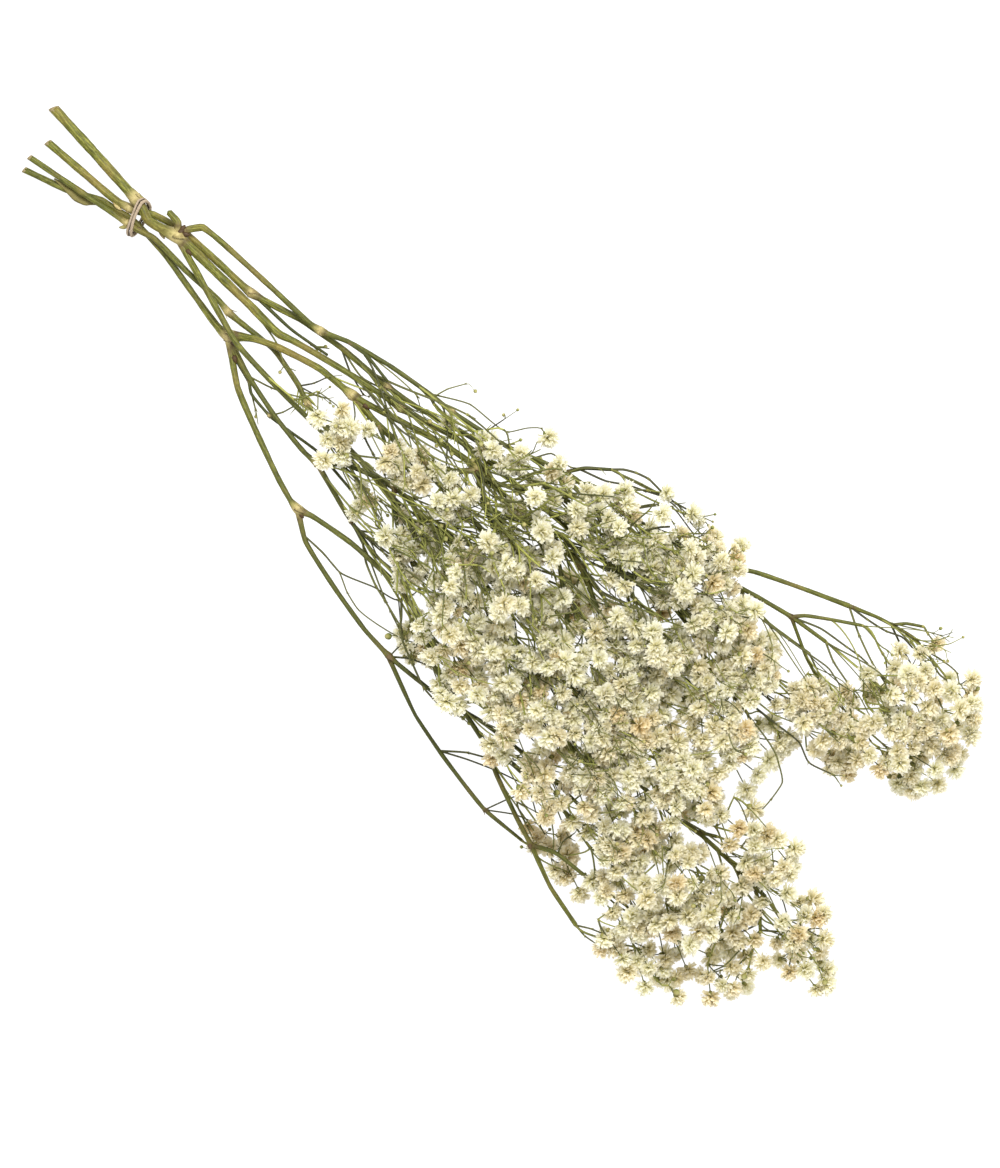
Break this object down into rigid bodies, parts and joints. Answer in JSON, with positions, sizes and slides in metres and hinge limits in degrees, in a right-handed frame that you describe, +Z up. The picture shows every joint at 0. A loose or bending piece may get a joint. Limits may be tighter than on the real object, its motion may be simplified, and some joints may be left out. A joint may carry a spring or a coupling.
{
  "type": "dried gypsophila bunch",
  "caption": "Lying bunch of dried gypsophila: cut green stems tied with a double band near their ends, forking into fine twigs with cream double florets.",
  "frame": {"origin": "centre of the bounding box on the surface the bunch lies on", "axes": "+X from the cut ends to the flower tips, +Y to the left of +X seen from above, +Z up from the surface"},
  "size_m": [0.4924, 0.1953, 0.07],
  "materials": {
    "stem_1": "dry green stem, matt",
    "stem_2": "dry green stem, matt",
    "stem_3": "dry green stem, matt",
    "stem_4": "dry green stem, matt",
    "tie": "dry grey-tan paper band",
    "spray_01": "dry cream petals, matt",
    "spray_02": "dry cream petals, matt",
    "spray_03": "dry cream petals, matt",
    "spray_04": "dry cream petals, matt",
    "spray_05": "dry cream petals, matt",
    "spray_06": "dry cream petals, matt",
    "spray_07": "dry cream petals, matt",
    "spray_08": "dry cream petals, matt",
    "spray_09": "dry cream petals, matt",
    "spray_10": "dry cream petals, matt",
    "spray_11": "dry cream petals, matt",
    "spray_12": "dry cream petals, matt",
    "spray_13": "dry cream petals, matt",
    "spray_14": "dry cream petals, matt",
    "spray_15": "dry cream petals, matt",
    "spray_16": "dry cream petals, matt",
    "spray_17": "dry cream petals, matt",
    "spray_18": "dry cream petals, matt",
    "spray_19": "dry cream petals, matt",
    "spray_20": "dry cream petals, matt",
    "spray_21": "dry cream petals, matt",
    "spray_22": "dry cream petals, matt",
    "spray_23": "dry cream petals, matt",
    "spray_24": "dry cream petals, matt",
    "spray_25": "dry cream petals, matt",
    "spray_26": "dry cream petals, matt",
    "spray_27": "dry cream petals, matt",
    "spray_28": "dry cream petals, matt",
    "spray_29": "dry cream petals, matt",
    "spray_30": "dry cream petals, matt",
    "spray_31": "dry cream petals, matt",
    "spray_32": "dry cream petals, matt",
    "spray_33": "dry cream petals, matt",
    "spray_34": "dry cream petals, matt",
    "spray_35": "dry cream petals, matt",
    "spray_36": "dry cream petals, matt",
    "spray_37": "dry cream petals, matt",
    "spray_38": "dry cream petals, matt",
    "spray_39": "dry cream petals, matt",
    "spray_40": "dry cream petals, matt",
    "spray_41": "dry cream petals, matt",
    "spray_42": "dry cream petals, matt",
    "spray_43": "dry cream petals, matt",
    "spray_44": "dry cream petals, matt",
    "spray_45": "dry cream petals, matt",
    "spray_46": "dry cream petals, matt",
    "spray_47": "dry cream petals, matt",
    "spray_48": "dry cream petals, matt",
    "spray_49": "dry cream petals, matt",
    "spray_50": "dry cream petals, matt",
    "spray_51": "dry cream petals, matt",
    "spray_52": "dry cream petals, matt"
  },
  "bodies": {
    "root": {"stem_1": "stem_1", "stem_2": "stem_2", "stem_3": "stem_3", "stem_4": "stem_4", "tie": "tie", "spray_01": "spray_01", "spray_02": "spray_02", "spray_03": "spray_03", "spray_04": "spray_04", "spray_05": "spray_05", "spray_06": "spray_06", "spray_07": "spray_07", "spray_08": "spray_08", "spray_09": "spray_09", "spray_10": "spray_10", "spray_11": "spray_11", "spray_12": "spray_12", "spray_13": "spray_13", "spray_14": "spray_14", "spray_15": "spray_15", "spray_16": "spray_16", "spray_17": "spray_17", "spray_18": "spray_18", "spray_19": "spray_19", "spray_20": "spray_20", "spray_21": "spray_21", "spray_22": "spray_22", "spray_23": "spray_23", "spray_24": "spray_24", "spray_25": "spray_25", "spray_26": "spray_26", "spray_27": "spray_27", "spray_28": "spray_28", "spray_29": "spray_29", "spray_30": "spray_30", "spray_31": "spray_31", "spray_32": "spray_32", "spray_33": "spray_33", "spray_34": "spray_34", "spray_35": "spray_35", "spray_36": "spray_36", "spray_37": "spray_37", "spray_38": "spray_38", "spray_39": "spray_39", "spray_40": "spray_40", "spray_41": "spray_41", "spray_42": "spray_42", "spray_43": "spray_43", "spray_44": "spray_44", "spray_45": "spray_45", "spray_46": "spray_46", "spray_47": "spray_47", "spray_48": "spray_48", "spray_49": "spray_49", "spray_50": "spray_50", "spray_51": "spray_51", "spray_52": "spray_52"}
  },
  "joints": []
}
